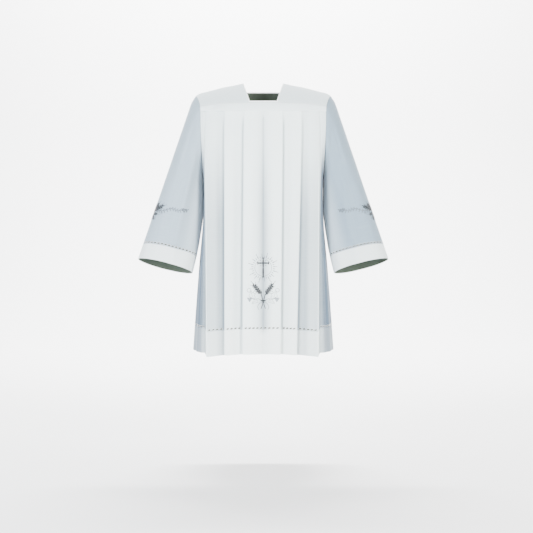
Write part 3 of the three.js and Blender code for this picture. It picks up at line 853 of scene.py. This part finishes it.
def sleeve_half(sheet, side):
    """Surface of half a sleeve by the share round it from the top seam and the share down it."""
    facing = sheet["facing"]
    top_steps, foot_steps, length_steps = 90, 120, 20
    downs = [shoulder_drop + (underarm - shoulder_drop) * (n / top_steps) for n in range(top_steps + 1)]
    top_line = []
    for down in downs:
        low = ease((down - deepest_armhole) / 100)
        cap = 0.9 * ease((pleat_line - down) / (pleat_line - shoulder_drop))
        out = armhole_out(down) + 0.5 + 1.5 * low + cap
        top_line.append(Vector((side * out, facing * armhole_depth(sheet, down), -down)))
    middle = (cuff_outer + cuff_inner) / 2
    outward = cuff_outer - middle
    forward = Vector((0, math.cos(cuff_tilt), -math.sin(cuff_tilt))) * cuff_half_depth * facing
    foot_line = []
    for n in range(foot_steps + 1):
        turn = math.pi * n / foot_steps
        point = middle + outward * math.cos(turn) + forward * math.sin(turn)
        foot_line.append(Vector((side * point.x, point.y, point.z)))
    top, foot = walker(top_line), walker(foot_line)

    def surface(around, down):
        point = top(around).lerp(foot(around), down)
        swell = cap_swell * ease(down / 0.05) * (1 - min(1, down)) * (1 - around * 0.75)
        fold = 0
        for a, d, to_a, to_d, half, deep in sleeve_folds[side, facing]:
            run = Vector((to_a - a, to_d - d))
            share = clamp(((around - a) * run.x + (down - d) * run.y) / run.length_squared)
            aside = math.hypot(around - a - run.x * share, down - d - run.y * share) / half
            fold += deep * math.exp(-aside * aside)
        fold *= ease(down / 0.12) * math.sin(math.pi * around)
        lower = ease((around - 0.6) / 0.4) if facing < 0 else ease((around - 0.45) / 0.42)
        hang = underarm_hang * math.sin(math.pi * max(0, down) ** 1.15) * lower
        hang += 3.4 * ease(down / 0.06) * (1 - ease((down - 0.36) / 0.3)) * ease((around - 0.7) / 0.2)
        return point + Vector((side * (swell - hang), -facing * fold, 0))

    shares = [n / length_steps for n in range(length_steps + 1)]
    lengths = [(top(share) - foot(share)).length for share in shares]

    def evened(around, down):
        """The same surface, with rows near the cuff at even distances from its edge."""
        place = clamp(around) * length_steps
        n = min(length_steps - 1, int(place))
        longer = sleeve_slant / mix(lengths[n], lengths[n + 1], place - n) * (1 + 0.12 * around) - 1
        return surface(around, down - longer * down * (1 - down))

    return evened


half_columns = 54


def sleeve_sheer_and_shade(side, around, down):
    """How far a sleeve's colour is drawn towards painted shade, as sheer cloth over the dark hollow and
    where less light falls: less towards its underside, but most on its underside high up, in painted shade
    beside the body.
    """
    # The wearer's left sleeve is painted darker than the right, as painted shade
    shaded = 0.7 * ease((around - 0.9) / 0.07) * (1 - ease((down - 0.35) / 0.3))
    return min(1, (0.7 + 0.07 * side) * (1 - 0.4 * ease((around - 0.6) / 0.3)) + shaded)


def make_sleeve(side):
    halves = {sheet["facing"]: sleeve_half(sheet, side) for sheet in (front, back)}
    band_top = cuff_share - (slot_above_cuff + band_half) / sleeve_slant
    band_foot = cuff_share - (slot_above_cuff - band_half) / sleeve_slant
    shares = [0, 0.004, 0.009, 0.016, 0.026, 0.04]
    shares += [mix(0.04, band_top, n / 44) for n in range(1, 45)]
    shares += [band_foot] + [mix(band_foot, 0.9965, n / 7) for n in range(1, 8)] + [0.9985, 0.9994, 1]
    rows = []
    for down in shares:
        ring = [halves[-1](n / half_columns, down) for n in range(half_columns)]
        ring += [halves[1](1 - n / half_columns, down) for n in range(half_columns + 1)]
        rows.append(ring)
    normals = grid_normals(rows, True, side)

    def height(i):
        sunk = -1.1 * (1 - ease(shares[i] / 0.012))
        return 0.6 + sunk - hem_roll(shares[i] * sleeve_slant, sleeve_slant)

    rows = lifted(rows, normals, height)
    band_row = shares.index(band_top)
    cells, stitches = [], []
    for facing in (-1, 1):

        def surface(share, lower, facing=facing):
            down = cuff_share - (slot_above_cuff - lower) / sleeve_slant
            step = 0.004
            half = halves[facing]
            across = half(min(1, share + step), down) - half(max(0, share - step), down)
            along_sleeve = half(share, down + step) - half(share, down - step)
            outward = across.cross(along_sleeve).normalized() * side * -facing
            place = (facing * (1 - share) * half_round, -down * sleeve_slant)
            return half(share, down) + outward * 0.6, place, sleeve_sheer_and_shade(side, share, down)

        def outwards(point):
            middle = (cuff_outer + cuff_inner) / 2
            return Vector((point.x - side * middle.x, point.y - middle.y, 0))

        made, slots = slot_cells(surface, 0, 1, half_round, outwards, side)
        cells += made
        stitches.append((surface, slots, half_round, Vector((0, facing, 0))))
    piece = cloth_piece(
        f"sleeve_{side_names[side]}", sleeve_batiste, rows, [share * sleeve_slant for share in shares],
        lambda i: 1 if shares[i] > band_foot else 0, lambda i, j: i == band_row, cells, side,
        lambda i, j: sleeve_sheer_and_shade(side, min(j, 2 * half_columns - j) / half_columns, shares[i]),
    )
    return piece, stitches, halves


# Stitches: one padded satin stitch is modelled, and each copy is bent onto the cloth

def model_stitch():
    """A padded stitch one unit long, wide and high, pointed towards its ends."""
    bpy.ops.object.select_all(action="DESELECT")
    bpy.ops.mesh.primitive_uv_sphere_add(segments=8, ring_count=6, radius=0.5,
                                         rotation=(0, math.pi / 2, 0))
    stitch = bpy.context.object
    bpy.ops.object.transform_apply(rotation=True)
    bpy.ops.object.mode_set(mode="EDIT")
    bpy.ops.mesh.select_all(action="DESELECT")
    shape = bmesh.from_edit_mesh(stitch.data)
    for vert in shape.verts:
        vert.select = vert.co.z < -0.01
    shape.select_flush(True)
    bmesh.update_edit_mesh(stitch.data)
    bpy.ops.transform.resize(value=(1, 1, 0.5))
    bpy.ops.object.mode_set(mode="OBJECT")
    points = [vert.co.copy() for vert in stitch.data.vertices]
    faces = [tuple(face.vertices) for face in stitch.data.polygons]
    bpy.data.objects.remove(stitch, do_unlink=True)
    return points, faces


stitch_points, stitch_faces = model_stitch()


def lay_stitches(name, laid, material):
    """Copies of the stitch, each from one place to another on a surface, with a width and height."""
    points, faces = [], []
    for surface, start, end, width, height in laid:
        start, end = Vector(start), Vector(end)
        run = end - start
        beside = Vector((-run.y, run.x)).normalized() * width
        step = 0.6
        middle = (start + end) / 2
        across = surface(middle.x + step, middle.y) - surface(middle.x - step, middle.y)
        down = surface(middle.x, middle.y + step) - surface(middle.x, middle.y - step)
        outward = down.cross(across).normalized()
        first = len(points)
        for p in stitch_points:
            at = middle + run * p.x + beside * p.y
            points.append((surface(at.x, at.y) + outward * p.z * height * 2) * MM)
        faces += [tuple(first + corner for corner in face) for face in stitch_faces]
    piece = new_object(name, new_mesh(name, points, faces))
    piece.data.materials.append(material)
    finish(piece, "thread")
    return piece


def bar_stitches(stitches):
    """Overcasting round each hemstitch slot: along its two long edges, and over the bars beside it."""
    clear, width, height = 1.12, 0.9, 0.45
    laid = []
    for surface, slots, wide, outwards in stitches:
        across = surface(0.52, 0)[0] - surface(0.48, 0)[0]
        down = surface(0.5, 1)[0] - surface(0.5, -1)[0]
        hand = 1 if down.cross(across).dot(outwards) > 0 else -1

        def flat_surface(x, y, surface=surface, wide=wide, hand=hand):
            return surface(hand * x / wide, y)[0]

        for corners in slots:
            at = [Vector((hand * x * wide, y)) for x, y in corners]
            middle = sum(at, Vector((0, 0))) / 4
            a, b, c, d = [middle + (corner - middle) * clear for corner in at]
            for start, end in ((a, b), (d, c), (b, c), (a, d)):
                laid.append((flat_surface, start, end, width, height))
    return laid


def topstitching(sheet, downs):
    """Rows of machine stitches along a yoke's pressed band. A real stitch is 2.5 mm long, and they
    are drawn 5 mm long to show."""
    def surface(u, v):
        out = -sheet["facing"] * u
        return Vector((out, sheet["facing"] * (yoke_depth(sheet, abs(out), v) + 1.7), -v))

    half_length, pitch, width, height = 2.5, 6.4, 0.9, 0.35
    laid = []
    for down in downs:
        half = armhole_out(down) - 4
        count = round(2 * half / pitch)
        for n in range(count):
            u = -half + 2 * half * (n + 0.5) / count
            laid.append((surface, (u - half_length, down), (u + half_length, down), width, height))
    return laid


def neck_binding():
    """A narrow bound edge all round the square neck."""
    path = []
    for sheet, hand in ((front, right), (back, left)):
        foot, foot_half = sheet["neck_depth"], sheet["neck_foot_half"]
        edge = []
        for n in range(17):
            share = (n / 16) ** 1.6
            out = mix(neck_top_half, foot_half, share)
            edge.append((hand * out, mix(shoulder_at(out), foot, share)))
        line = edge + [(hand * mix(foot_half, -foot_half, n / 12), foot) for n in range(1, 12)]
        line += [(-x, down) for x, down in edge[::-1]]
        for x, down in line[:-1]:
            depth = yoke_depth(sheet, abs(x), down) + 0.3
            path.append(Vector((x, sheet["facing"] * depth, -down)) * MM)
    curve = bpy.data.curves.new("neck_binding", "CURVE")
    curve.dimensions = "3D"
    curve.bevel_depth = 2.0 * MM
    curve.bevel_resolution = 3
    spline = curve.splines.new("POLY")
    spline.points.add(len(path) - 1)
    for point, place in zip(spline.points, path):
        point.co = (*place, 1)
    spline.use_cyclic_u = True
    binding = new_object("neck_binding", curve)
    select_only(binding)
    bpy.ops.object.convert(target="MESH")
    binding = bpy.context.object
    bpy.ops.object.shade_smooth()
    binding.data.materials.append(bound_edge)
    finish(binding, "yoke_cloth")
    return binding


# Embroidery of the front: a plain cross in a ring of rays, over two ears of wheat tied together
# between leaves and grapes. Places are in millimetres right of and above the middle of the ring

def wheat_ear(foot, tip, grains, width):
    """An ear from its foot to its tip: paired slanting grains, one at the tip, and short awns."""
    foot, tip = Vector(foot), Vector(tip)
    axis = (tip - foot).normalized()
    beside = Vector((-axis.y, axis.x))
    step = (tip - foot).length / grains
    dark, pale = [(foot - axis * step * 0.4, tip, width * 0.5)], []
    for n in range(grains):
        for hand in (-1, 1):
            root = foot + axis * step * (n + (0.4 if hand > 0 else 0))
            top = root + axis * step * 1.1 + beside * hand * width
            dark.append((root, top, width * 0.85))
            pale.append((top, top + axis * step * 0.7 + beside * hand * width * 0.5, 1.6))
    dark.append((tip - axis * step * 0.2, tip + axis * step * 1.2, width * 0.7))
    pale.append((tip + axis * step, tip + axis * step * 2.6, 1.8))
    return dark, pale


def chain(points, width):
    """A line of stem stitches through points, joined by short straight stitches."""
    laid = []
    for a, b in zip(points, points[1:]):
        a, b = Vector(a), Vector(b)
        count = max(1, round((b - a).length / 5))
        for n in range(count):
            laid.append((a.lerp(b, n / count), a.lerp(b, (n + 1.15) / count), width))
    return laid


def arc(centre, radius, start, end, count):
    """Points round part of a circle, in degrees from the right and upwards."""
    turns = [math.radians(mix(start, end, n / count)) for n in range(count + 1)]
    return [(centre[0] + radius * math.cos(t), centre[1] + radius * math.sin(t)) for t in turns]


def leaf(root, heading, length, lobes):
    """A leaf in outline stitches with a vein: lobes on both hands of its middle."""
    heading = math.radians(heading)
    axis = Vector((math.cos(heading), math.sin(heading)))
    beside = Vector((-axis.y, axis.x))
    root = Vector(root)
    outline = []
    for hand in (-1, 1):
        points = [root]
        for n in range(lobes):
            share = (n + 0.5) / lobes
            bulge = length * 0.42 * math.sin(math.pi * min(0.92, share + 0.12))
            points.append(root + axis * length * (share - 0.06) + beside * hand * bulge)
            points.append(root + axis * length * (share + 0.12) + beside * hand * bulge * 0.62)
        points.append(root + axis * length)
        outline += chain(points, 1.1)
    return outline + chain([root, root + axis * length * 0.85], 1.0)


def grapes(top, rows):
    """A bunch of round grapes in rows that get shorter downwards."""
    laid = []
    size = 4.6
    for row in range(rows):
        count = rows - row
        for n in range(count):
            x = top[0] + (n - (count - 1) / 2) * size * 1.02
            y = top[1] - row * size * 0.88
            laid.append(((x - size / 2, y), (x + size / 2, y), size * 0.9))
    return laid


def front_motif():
    dark = [((0, 37), (0, -6), 7.0), ((0, 8), (0, -38), 7.5), ((-23, 17), (4, 17), 6.6),
            ((-4, 17), (23, 17), 6.6)]
    pale = []
    for x, y, dx, dy in [(0, 35, 0, 1), (-20, 17, -1, 0), (20, 17, 1, 0), (0, -34, 0, 1)]:
        dark.append(((x - dy * 6, y - dx * 6), (x + dy * 6, y + dx * 6), 4.6))
    for x, y in [(-9, 26), (9, 26), (-9, 8), (9, 8)]:
        rise = 2.6 if x * (y - 17) > 0 else -2.6
        pale.append(((x - 2.6, y - rise), (x + 2.6, y + rise), 2.2))
    pale += chain(arc((0, 0), 31, 108, 432, 26), 1.7)
    for n in range(32):
        turn = 2 * math.pi * (n + 0.5) / 32
        reach = (52, 43, 58, 45)[n % 4]
        way = Vector((math.cos(turn), math.sin(turn)))
        pale.append((way * 35.5, way * (35.5 + (reach - 35.5) * 0.62), 2.8))
        pale.append((way * (34 + (reach - 35.5) * 0.6), way * reach, 1.9))
    for hand in (-1, 1):

        def stem(width, *places):
            return chain([(hand * x, y) for x, y in places], width)

        ear = wheat_ear((hand * 8, -97), (hand * 33, -64), 5, 7.5)
        dark += ear[0] + stem(4.2, (8, -97), (4, -110), (2, -122))
        dark += stem(3.6, (1, -124), (3, -136), (8, -150))
        pale += ear[1] + stem(1.9, (0, -124), (14, -130), (21, -142), (17, -154))
        pale += stem(1.9, (6, -119), (20, -113), (34, -116), (46, -108))
        pale += leaf((hand * 36, -114), 90 - hand * 20, 32, 3)
        pale += leaf((hand * 22, -117), 90 - hand * 128, 24, 2)
        pale += grapes((hand * 50, -111), 4)
        pale += chain(arc((hand * 52, -82), 7, 90, 90 - hand * 400, 12), 1.4)
        pale += chain(arc((hand * 31, -90), 5, 200, 200 + hand * 320, 9), 1.4)
    dark += [((-11, -121), (11, -121), 6.5), ((-6, -126), (6, -126), 4.0)]
    return dark, pale


def sleeve_motif():
    """Two ears in a V with leaves below, and a light spray that runs off to both hands."""
    dark, pale = [], []
    for hand in (-1, 1):
        for foot, tip, grains, width in (((3, -6), (18, 16), 4, 8.5), ((10, -6), (42, 10), 4, 7.5)):
            ear = wheat_ear((hand * foot[0], foot[1]), (hand * tip[0], tip[1]), grains, width)
            dark += ear[0]
            pale += ear[1]
        dark += chain([(hand * 3, -2), (0, -10), (-hand * 7, -26)], 5.0)
        dark += wheat_ear((hand * 8, -16), (hand * 25, -22), 3, 5.2)[0]
        dark += wheat_ear((hand * 4, -22), (hand * 15, -38), 3, 5.0)[0]
        pale += leaf((hand * 26, -12), 90 - hand * 98, 28, 3)
        pale += leaf((hand * 12, -24), 90 - hand * 140, 24, 2)
        spray = [(hand * x, -12 + 0.24 * (x - 14) + 3.5 * math.sin(x / 11)) for x in range(14, 162, 6)]
        pale += chain(spray, 3.0)
        for n, (x, y) in enumerate(spray[1:]):
            rise = 9 if n % 2 else -9
            pale.append(((x, y), (x + hand * 7, y + rise), 3.8))
        for x, y in ((134, 22), (141, 26), (148, 24), (154, 28), (139, 17), (148, 16), (157, 21)):
            pale.append(((hand * x - 4, y), (hand * x + 4, y), 6.5))
    dark.append(((-9, -10), (9, -10), 7.0))
    return dark, pale


def embroider(names, motif, surface, across, down):
    """A motif's two pieces round a middle on a surface: its dark parts, and its paler finer ones."""
    made = []
    for name, stitches, silk, height in zip(names, motif, (silver_silk, pale_silk), (1.0, 0.8)):
        laid = [(surface, (across + x0, down - y0), (across + x1, down - y1), width, height)
                for (x0, y0), (x1, y1), width in stitches]
        made.append(lay_stitches(name, laid, silk))
    return made


def sleeve_round(halves, side, height):
    """A sleeve's outer face by the distance round it, to the right as it is looked at, and down it."""
    def surface(u, v):
        round_it = -side * u
        half = halves[-1] if round_it >= 0 else halves[1]
        return half(min(1, abs(round_it) / half_round), v / sleeve_slant)

    def raised(u, v):
        across = surface(u + 2, v) - surface(u - 2, v)
        down = surface(u, v + 2) - surface(u, v - 2)
        return surface(u, v) + down.cross(across).normalized() * height

    return raised


# The pieces

front_panel, front_stitches = make_panel(front, "front_panel_cloth")
back_panel, back_stitches = make_panel(back, "back_panel_cloth")
front_yoke = make_yoke(front, "front_yoke_cloth")
back_yoke = make_yoke(back, "back_yoke_cloth")
for piece, node_name, slot in (
    (front_panel, "front_panel", "panel_cloth"),
    (back_panel, "back_panel", "panel_cloth"),
    (front_yoke, "yoke_front", "yoke_cloth"),
    (back_yoke, "yoke_back", "yoke_cloth"),
):
    finish(piece, slot)
    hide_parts(node_name)

front_motif_down, sleeve_motif_down, sleeve_motif_forward = 682, 428, 12

sleeves, sleeve_threads = {}, {}
for side in (left, right):
    sleeve, stitches, halves = make_sleeve(side)
    finish(sleeve, "sleeve_cloth")
    name = side_names[side]
    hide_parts(f"sleeve_{name}_front", f"sleeve_{name}_back")
    sleeves[side] = sleeve
    hemstitch = lay_stitches(f"{name}_sleeve_hemstitch", bar_stitches(stitches), sewing_cotton)
    sleeve_threads[side] = [hemstitch] + embroider(
        (f"{name}_sleeve_wheat", f"{name}_sleeve_spray"), sleeve_motif(),
        sleeve_round(halves, side, 0.7), -side * sleeve_motif_forward, sleeve_motif_down)

binding = neck_binding()
stitched_rows = (80.6, 103.6)
front_topstitching, back_topstitching, front_hemstitch, back_hemstitch = [
    lay_stitches(name, laid, sewing_cotton) for name, laid in (
        ("front_yoke_topstitching", topstitching(front, stitched_rows)),
        ("back_yoke_topstitching", topstitching(back, stitched_rows)),
        ("front_hemstitch", bar_stitches(front_stitches)),
        ("back_hemstitch", bar_stitches(back_stitches)),
    )
]


def front_cloth(x, down):
    side = left if x >= 0 else right
    return panel_point(front, side, 0, abs(x), down)


front_threads = embroider(("front_cross_and_wheat", "front_rays_and_leaves"), front_motif(),
                          front_cloth, 0, front_motif_down)


# Light, floor and camera

floor_level = -1.43


def make_room():
    """A pale studio sweep: floor, curve and wall in one sheet of matt paper, which has no gleam."""
    bend = 1.6
    turns = [math.pi / 2 * n / 12 for n in range(1, 13)]
    profile = [(-9.0, 0), (3.2, 0)]
    profile += [(3.2 + bend * math.sin(t), bend * (1 - math.cos(t))) for t in turns]
    profile.append((4.8, 9.0))
    points = [(x, y, floor_level + z) for y, z in profile for x in (-12, 12)]
    faces = [(2 * n, 2 * n + 1, 2 * n + 3, 2 * n + 2) for n in range(len(profile) - 1)]
    paper = new_material("matt white paper", "#f4f4f4", {"Roughness": 0.95, "Specular IOR Level": 0.1})
    room = new_object("studio_floor", new_mesh("studio_floor", points, faces))
    room.data.materials.append(paper[0])


def softbox(name, place, target, size, power, colour):
    light = bpy.data.lights.new(name, "AREA")
    light.shape = "RECTANGLE"
    light.size, light.size_y = size
    light.energy = power
    light.color = linear(colour)[:3]
    lamp = new_object(name, light)
    lamp.location = place
    lamp.rotation_euler = (Vector(target) - Vector(place)).to_track_quat("-Z", "Y").to_euler()


make_room()
softbox("key", (3.1, -3.4, 0.7), (0, 0, -0.45), (1.5, 1.5), 440, "#fffdf9")
softbox("fill", (-3.1, -3.2, 0.5), (0, 0, -0.5), (1.5, 1.5), 410, "#f6faff")
softbox("front", (0.0, -4.8, 0.9), (0, 0, -0.5), (1.4, 0.9), 150, "#ffffff")
softbox("backdrop", (0, 2.2, 3.4), (0, 4.6, 0.2), (3.4, 0.6), 1500, "#ffffff")

world = bpy.data.worlds.new("studio")
world.use_nodes = True
sky = world.node_tree.nodes["Background"]
sky.inputs["Color"].default_value = linear("#e6eefb")
sky.inputs["Strength"].default_value = 0.16
bpy.context.scene.world = world

lens = bpy.data.cameras.new("camera")
lens.sensor_fit = "HORIZONTAL"
lens.angle = math.radians(24.57)
camera = new_object("camera", lens)
camera.location = (0.012, -4.625, -0.390)
camera.rotation_euler = (math.radians(90 - 3.67), 0, 0)
bpy.context.scene.camera = camera
